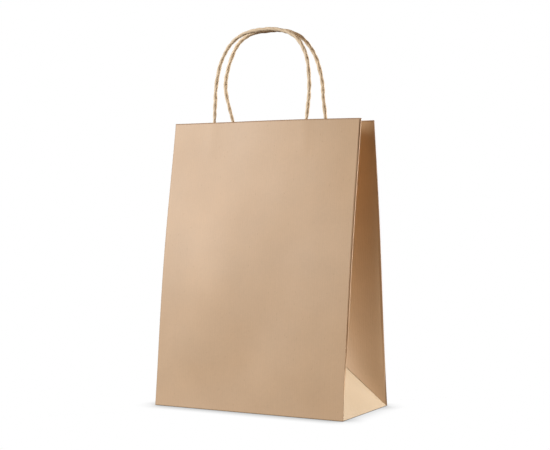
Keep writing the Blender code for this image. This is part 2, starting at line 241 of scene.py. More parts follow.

# The camera and the light
VIEW_AZIMUTH = 27.33
VIEW_ELEVATION = 0.589
VIEW_DISTANCE = 1.3202
VIEW_ROLL = 0.2565
VIEW_TARGET = (0.00315, 0.19292)  # to the right in the picture, and height
LENS = 80.89
SENSOR_WIDTH = 36
CLIP_END = 50
ROOM_LIGHT = (0.173, 0.107, 0.061)
FLOOR_BOUNCE = (0.15, 0.125, 0.105)
FLOOR_REACH = 60.0
FLOOR_DROP = 0.0002  # keeps the floor clear of the paper that stands on it
LIGHT_BOUNCES = 16
DIFFUSE_BOUNCES = 10
CONTACT_REACH = 0.024  # how far the soft dark line on the floor spreads from the bag
NEUTRAL = (1.0, 1.0, 1.0)
WARM = (1.0, 0.93, 0.84)
SOFTBOXES = {  # place, size, power, colour
    "key": ((-1.75, -1.90, 1.00), 1.1, 75.0, NEUTRAL),
    "right_side": ((1.03, 0.65, 0.28), 0.5, 14.5, WARM),
    "back_right": ((0.67, 0.99, 0.28), 0.5, 4.0, WARM),
}


# ---------------------------------------------------------------- shader nodes


def set_inputs(tree, made, values):
    """Set or link a node's inputs."""
    for key, value in values.items():
        if isinstance(value, bpy.types.NodeSocket):
            tree.links.new(value, made.inputs[key])
        else:
            made.inputs[key].default_value = value


def add_node(tree, kind, inputs=None, **settings):
    """A shader node with its settings made and its inputs set or linked."""
    made = tree.nodes.new(kind)
    for key, value in settings.items():
        setattr(made, key, value)
    set_inputs(tree, made, inputs or {})
    return made


def mix_colour(tree, factor, low, high, blend="MIX"):
    """low where factor is 0 and high where it is 1."""
    inputs = {0: factor, 6: low, 7: high}
    return add_node(tree, "ShaderNodeMix", inputs, data_type="RGBA", blend_type=blend).outputs[2]


def math_node(tree, operation, first, second=0.0):
    return add_node(tree, "ShaderNodeMath", {0: first, 1: second}, operation=operation).outputs[0]


def spread(tree, value, low, high):
    """Maps a 0 to 1 value to low to high."""
    inputs = {"Value": value, "To Min": low, "To Max": high}
    return add_node(tree, "ShaderNodeMapRange", inputs).outputs["Result"]


def threshold(tree, value, start, end):
    """0 below start, 1 above end."""
    inputs = {"Value": value, "From Min": start, "From Max": end}
    return add_node(tree, "ShaderNodeMapRange", inputs).outputs["Result"]


def stretched(tree, coords, scale):
    """Coordinates scaled by axis, so that a pattern is drawn out along the small one."""
    return add_node(tree, "ShaderNodeMapping", {"Vector": coords, "Scale": scale}).outputs[0]


def noise_at(tree, coords, scale, stretch=(1, 1, 1), detail=3.0, rough=0.5):
    place = stretched(tree, coords, stretch)
    inputs = {"Vector": place, "Scale": scale, "Detail": detail, "Roughness": rough}
    return add_node(tree, "ShaderNodeTexNoise", inputs).outputs["Fac"]


def varied(tree, base, *patterns):
    """base, plus or minus the swing of each (pattern, swing)."""
    tone = base
    for pattern, swing in patterns:
        tone = math_node(tree, "ADD", spread(tree, pattern, -swing, swing), tone)
    return tone


def weighted(tree, first, *patterns):
    """first plus each (pattern, weight)."""
    height = first
    for pattern, weight in patterns:
        height = math_node(tree, "ADD", height, math_node(tree, "MULTIPLY", pattern, weight))
    return height


def shaded(colour, shares):
    """A colour with each channel scaled by its share, as RGBA."""
    return (*(channel * share for channel, share in zip(colour, shares)), 1)


def tinted(tree, colour, red, green, blue):
    """A colour multiplied, channel by channel, by three tones."""
    tint = add_node(tree, "ShaderNodeCombineColor", {0: red, 1: green, 2: blue}).outputs[0]
    return mix_colour(tree, 1.0, (*colour, 1), tint, "MULTIPLY")


def new_material(name):
    """(material, node tree, Principled shader)"""
    material = bpy.data.materials.new(name)
    material.use_nodes = True
    tree = material.node_tree
    return material, tree, tree.nodes["Principled BSDF"]


def stored(tree, name, kind):
    """A value that each point of a mesh carries."""
    return add_node(tree, "ShaderNodeAttribute", attribute_name=name).outputs[kind]


def paper_material(name, colour, roughness, fibre, shine):
    """Kraft paper: cloudy tone, long fine fibres, dark flecks, faint machine ribs, folds darkened by wear
    and painted shade, and a painted highlight where the fold value is below 0.
    """
    material, tree, shader = new_material(name)
    coords = stored(tree, "sheet", "Vector")
    fold = stored(tree, "crease", "Fac")
    clouds = noise_at(tree, coords, scale=28, detail=4)
    drifts = noise_at(tree, coords, scale=9, stretch=(1, 0.7, 1), detail=2)
    warmth = noise_at(tree, coords, scale=16, detail=3)
    mottle = noise_at(tree, coords, scale=240, detail=4)
    fibres = noise_at(tree, coords, scale=1400, stretch=(1, 0.14, 1), detail=5, rough=0.65)
    cross_fibres = noise_at(tree, coords, scale=1000, stretch=(0.2, 1, 1), detail=3, rough=0.6)
    wave = {"Scale": 150, "Distortion": 6, "Detail": 2, "Detail Scale": 1.5}
    wave["Vector"] = stretched(tree, coords, (1, 0.04, 1))
    ribs = add_node(tree, "ShaderNodeTexWave", wave).outputs["Fac"]
    cells = {"Vector": stretched(tree, coords, (1, 0.35, 1)), "Scale": 230}
    flecks = add_node(tree, "ShaderNodeTexVoronoi", cells).outputs["Distance"]

    tone = varied(
        tree,
        1.0,
        (clouds, 0.07),
        (drifts, 0.08),
        (mottle, 0.025),
        (fibres, 0.06 * fibre),
        (cross_fibres, 0.03 * fibre),
        (ribs, 0.012),
    )
    green = math_node(tree, "MULTIPLY", tone, spread(tree, warmth, 0.97, 1.03))
    blue = math_node(tree, "MULTIPLY", tone, spread(tree, warmth, 0.92, 1.08))
    paper = tinted(tree, colour, tone, green, blue)
    fleck_share = math_node(tree, "MULTIPLY", threshold(tree, flecks, 0.10, 0.02), 0.45 * fibre)
    paper = mix_colour(tree, fleck_share, paper, shaded(colour, FLECK_SHADE))
    # painted shade on the folds, together with crushed-fibre wear
    wear_and_shade_share = math_node(tree, "MULTIPLY", fold, spread(tree, mottle, 0.6, 1.0))
    paper = mix_colour(tree, wear_and_shade_share, paper, shaded(colour, FOLD_WEAR_AND_SHADE))
    # painted highlight where the fold value is below 0
    painted_highlight_share = math_node(tree, "MULTIPLY", fold, -1.0)
    paper = mix_colour(tree, painted_highlight_share, paper, shaded(colour, [SWELL_HIGHLIGHT_GAIN] * 3))

    gloss = weighted(tree, varied(tree, roughness, (fibres, 0.06)), (fold, 0.2))
    height = weighted(tree, fibres, (cross_fibres, 0.5), (ribs, 0.35), (mottle, 0.8))
    grain = {"Height": height, "Strength": 0.35, "Distance": 0.00012}
    bump = add_node(tree, "ShaderNodeBump", grain).outputs[0]
    looks = {"Base Color": paper, "Roughness": gloss, "Specular IOR Level": shine, "Normal": bump}
    set_inputs(tree, shader, looks)
    return material


def cord_material(name, colour):
    """Twisted paper: fibres that follow the strands, with painted shade in the grooves between them."""
    material, tree, shader = new_material(name)
    coords = stored(tree, "sheet", "Vector")
    groove = stored(tree, "crease", "Fac")
    fibres = noise_at(tree, coords, scale=2400, stretch=(1, 0.05, 1), detail=5, rough=0.65)
    wraps = noise_at(tree, coords, scale=700, stretch=(1, 0.10, 1), detail=3)
    patches = noise_at(tree, coords, scale=110, detail=2)
    tone = varied(tree, 1.0, (fibres, 0.10), (wraps, 0.16), (patches, 0.14))
    paper = tinted(tree, colour, tone, tone, tone)
    # painted shade in the grooves between the strands
    shade = math_node(tree, "MULTIPLY", groove, spread(tree, patches, 0.2, 0.75))
    paper = mix_colour(tree, shade, paper, shaded(colour, GROOVE_PAINTED_SHADE))
    height = math_node(tree, "ADD", fibres, wraps)
    grain = {"Height": height, "Strength": 0.4, "Distance": 0.0002}
    bump = add_node(tree, "ShaderNodeBump", grain).outputs[0]
    looks = {"Base Color": paper, "Roughness": 0.7, "Specular IOR Level": 0.35, "Normal": bump}
    set_inputs(tree, shader, looks)
    return material


def floor_material():
    """White to the camera but for a soft contact shadow, and a dim bounce card to the bag."""
    material, tree, shader = new_material("white_studio_floor")
    seen = add_node(tree, "ShaderNodeLightPath").outputs["Is Camera Ray"]
    tone = mix_colour(tree, seen, (*FLOOR_BOUNCE, 1), (0, 0, 0, 1))
    sky = add_node(tree, "ShaderNodeAmbientOcclusion", {"Distance": CONTACT_REACH}, samples=24)
    white = math_node(tree, "MULTIPLY", sky.outputs["AO"], seen)
    set_inputs(tree, shader, {"Base Color": tone, "Roughness": 0.9, "Specular IOR Level": 0.0})
    set_inputs(tree, shader, {"Emission Color": (1, 1, 1, 1), "Emission Strength": white})
    return material


# ---------------------------------------------------------------- sheet building


def eased(count, pull=0.9, low=0.0, high=1.0):
    """Values from low to high, close together at both ends where the folds are."""
    steps = np.arange(count + 1) / count
    shares = steps - pull * np.sin(2 * math.pi * steps) / (2 * math.pi)
    return [low + (high - low) * float(share) for share in shares]


def smooth(value):
    """0 below 0, 1 above 1, and a smooth step between."""
    value = min(max(value, 0), 1)
    return value * value * (3 - 2 * value)


def arch(share):
    """0 at both ends of 0 to 1, and 1 in the middle."""
    return math.sin(math.pi * min(max(share, 0), 1))


def fold_line(distance, width=CREASE_WIDTH):
    """1 on a fold, fading to 0 within about two widths."""
    return math.exp(-((distance / width) ** 2))


def front_fold_darkness(up):
    """How dark the front folds are painted, at a share of the panel's height: crushed fibres plus painted
    shade.
    """
    middle, swing, darkest = FRONT_FOLD_DARKNESS
    return middle + swing * math.cos(2 * math.pi * (up - darkest))


def make_mesh(name, points, faces, coords, folds, material):
    """A smooth closed mesh object, with paper coordinates and fold shading on its points."""
    mesh = bpy.data.meshes.new(name)
    mesh.from_pydata([tuple(point) for point in points], [], faces)
    mesh.validate()
    mesh.shade_smooth()
    mesh.set_sharp_from_angle(angle=math.radians(SHARP_ANGLE))
    sheet = mesh.attributes.new("sheet", "FLOAT_VECTOR", "POINT")
    sheet.data.foreach_set("vector", np.array(coords, np.float32).ravel())
    crease = mesh.attributes.new("crease", "FLOAT", "POINT")
    crease.data.foreach_set("value", np.array(folds, np.float32))
    mesh.materials.append(material)
    face_outwards(mesh)
    made = bpy.data.objects.new(name, mesh)
    bpy.context.scene.collection.objects.link(made)
    return made


def face_outwards(mesh):
    """Turn the faces over if the closed mesh came out inside out."""
    volume = 0.0
    for face in mesh.polygons:
        corners = [mesh.vertices[index].co for index in face.vertices]
        for second, third in zip(corners[1:], corners[2:]):
            volume += corners[0].dot(second.cross(third))
    if volume < 0:
        mesh.flip_normals()


def grid_normals(points):
    """Unit normals of a grid of points, from its neighbours."""
    along = np.gradient(points, axis=0)
    across = np.gradient(points, axis=1)
    normals = np.cross(across, along)
    return normals / np.linalg.norm(normals, axis=2, keepdims=True)


def paper_sheet(name, table, behind, material):
    """A closed sheet, thickened towards behind from the points of its outer face.

    table holds rows of (place, paper coordinates, fold shading), one for each point.
    """
    points, coords, folds = (
        np.array([[cell[part] for cell in line] for line in table], float) for part in range(3)
    )
    rows, columns = folds.shape
    normals = grid_normals(points)
    if normals[rows // 2, columns // 2] @ np.array(behind, float) < 0:
        normals = -normals
    both_faces = np.concatenate([points, points + normals * PAPER]).reshape(-1, 3)

    def index(row, column, layer=0):
        return (layer * rows + row) * columns + column

    faces = []
    for row in range(rows - 1):
        for column in range(columns - 1):
            corners = ((row, column), (row, column + 1), (row + 1, column + 1), (row + 1, column))
            faces.append([index(*corner) for corner in corners])
            faces.append([index(*corner, 1) for corner in reversed(corners)])
    rim = [(0, column) for column in range(columns - 1)]
    rim += [(row, columns - 1) for row in range(rows - 1)]
    rim += [(rows - 1, column) for column in range(columns - 1, 0, -1)]
    rim += [(row, 0) for row in range(rows - 1, 0, -1)]
    for here, there in zip(rim, rim[1:] + rim[:1]):
        faces.append([index(*there), index(*here), index(*here, 1), index(*there, 1)])
    coords = np.tile(coords.reshape(-1, 3), (2, 1))
    folds = np.tile(folds.reshape(-1), 2)
    return make_mesh(name, both_faces, faces, coords, folds, material)


def finish_piece(made, slot, *nodes, body=None):
    """Hide the CAD nodes that a piece replaces, and attach it to its body if it rides on only one; slot is
    not used.
    """
    if body:
        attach(made, body)
    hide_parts(*nodes)


# ---------------------------------------------------------------- the folded bag's surfaces


def unevenness(x, y, seed, size=UNEVEN_SIZE):
    """A slow irregular rise and fall across a sheet, from -1 to 1."""
    return noise.noise(Vector((x / size, y / (UNEVEN_STRETCH * size), seed)))


def across_at(x):
    """The share of a panel's width, from left to right, at x."""
    return (x / HALF_WIDTH + 1) / 2


def leg_places(name):
    """The x of a handle's left leg and of its right leg."""
    return [(low.x + high.x) / 2 for low, high in CORD_ENDS[name]]


def cord_ridge(end, x, height):
    """How far the glued cord ends lift their panel at a place on it."""
    lift, width = CORD_RIDGE
    total = 0.0
    for leg, (low, _) in zip(leg_places(end), CORD_ENDS[end]):
        over = smooth((height * math.cos(LEAN) - low.z) / CORD_RIDGE_FADE)
        total += lift * over * fold_line(x - leg, width)
    return total


def panel_bow(side_y, across, up):
    """How far a panel stands out from its flat, at a point from left to right and bottom to top."""
    end = END[side_y]
    rise = arch(up) ** BOW_POWER
    if end == "front":
        bow = (FRONT_BOW - FRONT_BOW_SKEW * (2 * across - 1)) * rise
    else:
        bow = REAR_BOW * rise - REAR_BOW_WAVE * math.sin(2 * math.pi * up)
    bow += MOUTH_BOW * arch(max(across, 0) ** MOUTH_SKEW[end]) * max(up, 0) ** MOUTH_BOW_POWER
    loose = arch(across) * min(up / STIFF_FOOT, 1)
    x, y = across * SHEET_WIDTH, up * PANEL_HEIGHT
    bow += DENT * loose * unevenness(x, y, SEED["dent"] + side_y, DENT_SIZE)
    bow += cord_ridge(end, x - HALF_WIDTH, y)
    return bow + WRINKLE * loose * unevenness(x, y, SEED["wrinkle"] + side_y, WRINKLE_SIZE)


def panel_point(side_y, across, up, behind=0.0):
    """A point of a panel: across 0 to 1 is left to right, up 0 to 1 is bottom to top."""
    out = panel_bow(side_y, across, up) - behind
    x = (2 * across - 1) * HALF_WIDTH
    if side_y < 0:
        x -= across * FOLD_INSET * smooth(up / FOLD_INSET_FADE)
    y = side_y * (HALF_DEPTH - (HALF_DEPTH - MOUTH_HALF) * up)
    return Vector((x, y, TOP_Z * up)) + out * Vector((0, side_y * math.cos(LEAN), math.sin(LEAN)))


def crease_point(side_x, up):
    """A point of a gusset's centre crease, from the foot triangle's tip up to the mouth."""
    foot_x = HALF_WIDTH - HALF_DEPTH * math.sin(FOOT_LEAN)
    foot_z = HALF_DEPTH * math.cos(FOOT_LEAN)
    top_x = HALF_WIDTH - math.sqrt(HALF_DEPTH**2 - MOUTH_HALF**2)
    length = PANEL_HEIGHT - HALF_DEPTH
    rise = math.sqrt(length**2 - (foot_x - top_x) ** 2)
    x = foot_x + (top_x - foot_x) * up + CREASE_BOW * arch(up)
    return Vector((side_x * x, 0, foot_z + rise * up))


def gusset_point(side_x, side_y, across, up, behind=0.0):
    """A point of a gusset half: across 0 to 1 runs from the panel's edge to the centre crease.

    Each level is a curve that leaves the panel square to it and curls in to the crease.
    """
    end = END[side_y]
    tuck_in, tuck_back = GUSSET_TUCK
    edge = panel_point(side_y, 1.0 if side_x > 0 else 0.0, up)
    edge += Vector((-side_x * tuck_in, -side_y * tuck_back, 0))
    crease = crease_point(side_x, up) + Vector((0, side_y * CREASE_GAP, 0))
    fade = smooth(up / SHOULDER_FADE)
    square = edge + Vector((0, -side_y * SHOULDER[end] * fade, 0))
    square += (crease - edge) * LOW_PULL * (1 - fade)
    straight = crease + (edge - crease) * CREASE_PULL
    rest = 1 - across
    place = edge * rest**3 + square * (3 * rest**2 * across)
    place += straight * (3 * rest * across**2) + crease * across**3
    back = across * HALF_DEPTH
    swell = smooth(up / SWELL_FADE) * SWELL[end]
    for (centre, half, height), sign in ((GROOVE, -1), (BULGE, 1)):
        place.x += side_x * sign * height * swell * fold_line(back - centre, half)
    ripple = GUSSET_RIPPLE * arch(across) * fade
    ripple *= unevenness(back, up * PANEL_HEIGHT, SEED["ripple"] + side_x + 2 * side_y)
    normal = (crease - edge).cross(Vector((0, 0, 1))).normalized()
    if normal.x * side_x < 0:
        normal = -normal
    return place + normal * (ripple - behind)


# ---------------------------------------------------------------- the bag's pieces


def build_panel(side_y, material):
    """The panel itself, up to where the hem turns over its top edge."""
    curl_height, curl_in, curl_up = FOOT_CURL
    table = []
    for up in eased(PANEL_ROWS, high=1 - HEM_RADIUS / PANEL_HEIGHT):
        height = up * PANEL_HEIGHT
        near_floor = max(0.0, 1 - height / curl_height)
        # painted shade, with some crushed-fibre wear, along the panel's folds, foot and top edge
        foot = FOLD_SHADE["panel_foot"] * fold_line(height)
        rim = FOLD_SHADE["rim"] * fold_line(PANEL_HEIGHT - HEM_RADIUS - height)
        line = []
        for across in eased(PANEL_COLUMNS):
            place = panel_point(side_y, across, up)
            place.y -= side_y * curl_in * near_floor**2
            place.z += curl_up * near_floor
            x = across * SHEET_WIDTH
            left = FOLD_SHADE["left"] * fold_line(x)
            right = front_fold_darkness(up) * fold_line(SHEET_WIDTH - x)
            line.append((place, (x, height, side_y), max(left, right, foot, rim)))
        table.append(line)
    name = END[side_y] + "_panel"
    made = paper_sheet(name + "_sheet", table, (0, -side_y, 0), material)
    finish_piece(made, "kraft_outside", name, body=name)


def hem_path():
    """(distance behind the panel's face, distance below the top edge) over the turned edge."""
    path = []
    for step in range(HEM_TURN_STEPS + 1):
        angle = math.pi * (1 - step / HEM_TURN_STEPS)
        path.append((HEM_RADIUS * (1 + math.cos(angle)), HEM_RADIUS * (1 - math.sin(angle))))
    for below in eased(HEM_ROWS, low=HEM_RADIUS, high=HEM_HEIGHT)[1:]:
        path.append((2 * HEM_RADIUS, below))
    return path


def build_hem(name, surface, behind, span, material):
    """A strip turned in over the top edge of a surface(across, up, behind)."""
    table = []
    for inside, below in hem_path():
        fold = 0.0
        # painted shade along the fold over the top edge
        if inside < HEM_RADIUS:
            fold = FOLD_SHADE["hem"] * fold_line(below - HEM_RADIUS / 2, HEM_SHADE_WIDTH)
        line = []
        for across in eased(HEM_COLUMNS, low=span[0], high=span[1]):
            place = surface(across, 1 - below / PANEL_HEIGHT, inside)
            coords = (across * HEM_GRAIN_LENGTH, PANEL_HEIGHT + below, GRAIN["hem"])
            line.append((place, coords, fold))
        table.append(line)
    made = paper_sheet(name + "_fold", table, behind, material)
    finish_piece(made, "kraft_inside", name)
    return made


def build_panel_hem(side_y, material):
    end = END[side_y]

    def surface(across, up, behind):
        return panel_point(side_y, across, up, behind)

    made = build_hem(end + "_hem", surface, (0, -side_y, 0), (0.0, 1.0), material)
    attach(made, end + "_panel")


def gusset_blend(made):
    """Bake a gusset sheet's transform into its mesh."""
    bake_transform(made)


def lap_crease(line, side_x, up):
    """Carry a gusset's front half round behind the rear half, so that the crease stays shut."""
    edge, (edge_x, edge_up, grain), fold = line[-1]
    for step, (inwards, across) in enumerate(CREASE_LAP, 1):
        inwards = inwards * smooth(up / LAP_START) + LAP_STEP * step
        across *= smooth((up - LAP_START) / LAP_GROWTH)
        place = edge + Vector((-side_x * inwards, across, 0))
        line.append((place, (edge_x + inwards + across, edge_up, grain), fold))


def build_gusset_half(side_x, side_y, material, inner_material):
    """A gusset half from its panel's edge to the centre crease, and the hem over its top edge."""
    end = END[side_y]
    name = f"{SIDE[side_x]}_gusset_{end}"
    grain = GRAIN["gusset"] + side_x + 2 * side_y
    table = []
    for up in eased(PANEL_ROWS, pull=0.8, high=1 - HEM_RADIUS / PANEL_HEIGHT):
        fold_darkness = front_fold_darkness(up) if end == "front" else 1.0
        # painted highlight on the swelling behind the front fold
        painted_highlight = SWELL_HIGHLIGHT[end] * smooth(up / SWELL_FADE)
        line = []
        for across in eased(GUSSET_COLUMNS, pull=0.75):
            back = HALF_DEPTH * across
            # painted shade, with some wear, along the outer fold and the centre crease
            edge = fold_darkness * fold_line(back, EDGE_SHADE[end])
            centre = FOLD_SHADE["centre_crease"] * fold_line(HALF_DEPTH - back)
            fold = max(edge, centre) - painted_highlight * fold_line(back - BULGE[0], BULGE[1])
            coords = (SHEET_WIDTH + back, HALF_DEPTH + up * GUSSET_GRAIN_HEIGHT, grain)
            line.append((gusset_point(side_x, side_y, across, up), coords, fold))
        if end == "front":
            lap_crease(line, side_x, up)
        table.append(line)
    inward = (-side_x, side_y, 0)
    made = paper_sheet(name + "_sheet", table, inward, material)
    finish_piece(made, "kraft_outside", name)
    gusset_blend(made)

    def surface(across, up, behind):
        return gusset_point(side_x, side_y, across, up, behind)

    hem = build_hem(name + "_hem", surface, inward, GUSSET_HEM_SPAN, inner_material)
    gusset_blend(hem)


def build_foot(side_x, material):
    """The flat triangle at the foot of a gusset, with laps that run behind the gusset halves."""
    table = []
    for climb in eased(FOOT_ROWS, pull=0.7, low=FOOT_START, high=HALF_DEPTH + FOOT_LAP - TIP_TRIM):
        lap = FOOT_LAP * min(1.0, climb / FOOT_LAP_START)
        half = max(HALF_DEPTH - FOOT_TRIM - climb + lap, FOOT_START)
        dish = FOOT_DISH * arch(climb / HALF_DEPTH)
        # painted shade, with some wear, along the triangle's foot and its diagonal folds
        foot = FOLD_SHADE["triangle_foot"] * fold_line(climb)
        line = []
        for across in eased(FOOT_COLUMNS, pull=0.7):
            y = (2 * across - 1) * half
            beyond = abs(y) + climb - HALF_DEPTH
            x = HALF_WIDTH - FOOT_INSET - climb * math.sin(FOOT_LEAN)
            x -= dish * arch(across) + LAP_SLOPE * max(beyond, 0)
            place = Vector((side_x * x, y, climb * math.cos(FOOT_LEAN)))
            fold = max(FOLD_SHADE["diagonal"] * fold_line(beyond / math.sqrt(2)), foot)
            line.append((place, (SHEET_WIDTH + HALF_DEPTH + y, climb, GRAIN["foot"]), fold))
        table.append(line)
    name = SIDE[side_x] + "_foot_triangle"
    made = paper_sheet(name + "_sheet", table, (-side_x, 0, 0), material)
    finish_piece(made, "kraft_outside", name, body=SIDE[side_x] + "_foot")


def build_base_flap(side_y, material):
    """An outer flap of the base; the front one's free edge lies a little above the rear one."""
    name = "base_flap_" + END[side_y]
    low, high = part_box(name)
    outer = max(abs(low.y), abs(high.y))
    length = high.y - low.y
    table = []
    for inwards in eased(BASE_ROWS, high=length):
        y = side_y * (outer - inwards)
        half = high.x - inwards
        lift = FLAP_LIFT * inwards / length if side_y < 0 else 0.0
        # painted shade, with some wear, along the flap's folds
        foot = FOLD_SHADE["flap_foot"] * fold_line(inwards)
        line = []
        for across in eased(FLAP_COLUMNS):
            x = (2 * across - 1) * half
            rise = FLAP_CLEARANCE + lift * (1 + unevenness(x, y, SEED["flap"] + side_y))
            to_side = math.sqrt(2) * half * min(across, 1 - across)
            fold = max(FOLD_SHADE["flap_side"] * fold_line(to_side), foot)
            line.append((Vector((x, y, low.z + rise)), (x + HALF_WIDTH, -inwards, side_y), fold))
        table.append(line)
    made = paper_sheet(name + "_sheet", table, (0, 0, 1), material)
    finish_piece(made, "kraft_outside", name, body="base")


def build_side_tuck(side_x, material):
    """The tuck folded in at one end of the base; its free end rises a little."""
    name = "base_tuck_" + SIDE[side_x]
    low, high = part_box(name)
    table = []
    for y in eased(BASE_ROWS, low=low.y, high=high.y):
        line = []
        for across in eased(BASE_ROWS):
            x = low.x + across * (high.x - low.x)
            inner_end = across if side_x < 0 else 1 - across
            uneven = 1 + TUCK_UNEVEN * unevenness(x, y, SEED["tuck"] + side_x)
            place = Vector((x, y, low.z + TUCK_LIFT * inner_end**3 * uneven))
            line.append((place, (x, y, GRAIN["tuck"] + side_x), 0))
        table.append(line)
    made = paper_sheet(name + "_sheet", table, (0, 0, 1), material)
    finish_piece(made, "kraft_inside", name, body="base")


def panel_strip(node, box, side_y, depth, material, slot):
    """A strip glued inside a panel, over the width and height of a box.

    depth(x) is how far it lies behind the panel's outer face.
    """
    low, high = box
    slope = math.cos(LEAN)
    table = []
    for climb in eased(STRIP_ROWS, low=low.z / slope, high=high.z / slope):
        line = []
        for x in np.linspace(low.x, high.x, STRIP_COLUMNS).tolist():
            place = panel_point(side_y, across_at(x), climb / PANEL_HEIGHT, depth(x))
            coords = (x * STRIP_GRAIN_SCALE, climb * STRIP_GRAIN_SCALE, GRAIN["strip"] + side_y)
            line.append((place, coords, 0))
        table.append(line)
    made = paper_sheet(node + "_strip", table, (0, -side_y, 0), material)
    finish_piece(made, slot, node, body=END[side_y] + "_panel")


def build_patch(name, material):
    """A handle patch: a flat backing strip, and a cover strip draped over the two cord ends."""
    side_y = HANDLES[name]["side"]
    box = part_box(name + "_patch_backing")
    legs = leg_places(name)
    rise = 2 * GLUED_RADIUS + DRAPE_CLEARANCE

    def backing(x):
        return 2 * LAYER

    def cover(x):
        nearest = min(abs(x - leg) for leg in legs)
        share = min(nearest / DRAPE_REACH, 1.0)
        return 3 * LAYER + rise * ((1 + math.cos(math.pi * share)) / 2) ** DRAPE_POWER

    panel_strip(name + "_patch_backing", box, side_y, backing, material, "patch_paper")
    panel_strip(name + "_patch_cover", box, side_y, cover, material, "patch_paper")


def build_seam(material):
    """The glue flap of the side seam, inside the rear panel."""
    node = "side_seam_flap"
    panel_strip(node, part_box(node), 1, lambda x: LAYER, material, "kraft_inside")


# ---------------------------------------------------------------- the handles


def loop_outline(shape, half):
    """(sideways, height) of a loop with its legs at half either side, from the left to the right."""
    rise = ARCH_HEIGHT - ARCH_START
    power = 2 / shape["power"]
    path = []
    for step in range(LOOP_STEPS + 1):
        angle = math.pi * step / LOOP_STEPS
        across = -math.copysign(abs(math.cos(angle)) ** power, math.cos(angle))
        height = ARCH_START + rise * math.sin(angle) ** power
        belly = shape["belly"][0 if across < 0 else 1] * arch(height / BELLY_HEIGHT) ** 2
        path.append((across * (half + belly) + shape["sway"] * height, height))
    return path


def cord_path(name):
    """The cord's centre line: up inside the patch, over the loop and down into the patch."""
    shape = HANDLES[name]
    side_y = shape["side"]
    root = Vector(JOINTS[name + "_neck_bend"]["pos_m"])
    left, right = leg_places(name)
    end_low = CORD_ENDS[name][0][0].z / math.cos(LEAN)
    inside = 3 * LAYER + GLUED_RADIUS
    tilt = math.atan(shape["slope"])
    up_handle = Vector((0, -side_y * math.sin(tilt), math.cos(tilt)))

    def leg(x):
        """Up the panel, from the end of the cord to the top edge."""
        climbs = eased(LEG_STEPS, pull=0, low=end_low, high=PANEL_HEIGHT)
        return [panel_point(side_y, across_at(x), climb / PANEL_HEIGHT, inside) for climb in climbs]

    def at_mouth(x):
        """Where a leg leaves the bag, moved out as far as the mouth's edge bows there."""
        bow = panel_bow(side_y, across_at(x), 1.0)
        return Vector((x, root.y + side_y * bow, root.z))

    loop = []
    for sideways, height in loop_outline(shape, (right - left) / 2):
        below = Vector(((left + right) / 2 + sideways, root.y, root.z))
        loop.append(below + up_handle * (height - ROOT_RISE))
    shares = eased(RISE_STEPS, pull=0)
    rising = [at_mouth(left).lerp(loop[0], share) for share in shares[:-1]]
    falling = [loop[-1].lerp(at_mouth(right), share) for share in shares[1:]]
    return leg(left) + rising + loop + falling + leg(right)[::-1]


def resample(path):
    """(evenly spaced points along a path, rounded off where it turns; distance along it of each)"""
    points = np.array([tuple(place) for place in path])
    lengths = np.concatenate([[0], np.cumsum(np.linalg.norm(np.diff(points, axis=0), axis=1))])
    keep = np.concatenate([[True], np.diff(lengths) > SAME_PLACE])
    points, lengths = points[keep], lengths[keep]
    places = np.linspace(0, lengths[-1], int(lengths[-1] / RING_STEP) + 1)
    line = np.stack([np.interp(places, lengths, points[:, axis]) for axis in range(3)], axis=1)
    for _ in range(CORD_SMOOTHING):
        line[1:-1] = (line[:-2] + 2 * line[1:-1] + line[2:]) / 4
    return line, places


def cord_irregularity(distance, seed):
    """Small bends, thick and thin stretches and uneven twist: (sideways, forwards, swell, twist)."""

    def drift(kind):
        length, size, track = CORD_UNEVEN[kind]
        return size * noise.noise(Vector((distance / length, seed, track)))

    twist = 2 * math.pi * distance / CORD_PITCH + drift("twist")
    return drift("slow_bend") + drift("quick_bend"), drift("forward_bend"), 1 + drift("swell"), twist


def strand_radius(around):
    """The outer envelope of the strands at an angle from the first, and how deep in a groove it is."""
    sector = 2 * math.pi / CORD_STRANDS
    off = (around + sector / 2) % sector - sector / 2
    radius = 1 - STRAND_OFFSET
    reach = STRAND_OFFSET * math.cos(off) + math.sqrt(radius**2 - (STRAND_OFFSET * math.sin(off)) ** 2)
    for size, count, phase in STRAND_WRINKLES:
        reach += size * math.sin(count * around + phase)
    groove = max(0.0, abs(off) / (sector / 2) - GROOVE_START) / (1 - GROOVE_START)
    return reach, groove**2


def cord_rings(line, places, seed):
    """Rings of (place, paper coordinates, groove shading) around a cord's centre line."""
    tangents = np.gradient(line, axis=0)
    tangents /= np.linalg.norm(tangents, axis=1, keepdims=True)
    facing = np.array((0.0, 1.0, 0.0))
    rings = []
    for place, tangent, distance in zip(line, tangents, places):
        bend_x, bend_y, swell, twist = cord_irregularity(distance, seed)
        free = min(max((place[2] - TOP_Z) / GLUED_FADE, 0), 1)
        facing = facing - tangent * (facing @ tangent)
        facing /= np.linalg.norm(facing)
        side = np.cross(tangent, facing)
        middle = place + (side * bend_x + facing * bend_y) * free
        size = GLUED_RADIUS + (CORD_RADIUS * swell - GLUED_RADIUS) * free
        ring = []
        for step in range(CORD_SIDES):
            angle = 2 * math.pi * step / CORD_SIDES
            around = (angle - twist) % (2 * math.pi)
            reach, groove = strand_radius(around)
            spoke = facing * math.cos(angle) + side * math.sin(angle)
            ring.append((middle + spoke * size * reach, (around * CORD_RADIUS, distance, seed), groove))
        rings.append(ring)
    return rings


def cord_mesh(name, rings, material):
    """A closed tube over a run of rings."""
    points, coords, grooves = zip(*[cell for ring in rings for cell in ring])
    faces = []
    for low in range(0, len(points) - CORD_SIDES, CORD_SIDES):
        high = low + CORD_SIDES
        for column in range(CORD_SIDES):
            following = (column + 1) % CORD_SIDES
            faces.append((low + column, low + following, high + following, high + column))
    faces.append(tuple(reversed(range(CORD_SIDES))))
    faces.append(tuple(range(len(points) - CORD_SIDES, len(points))))
    return make_mesh(name, points, faces, coords, grooves, material)


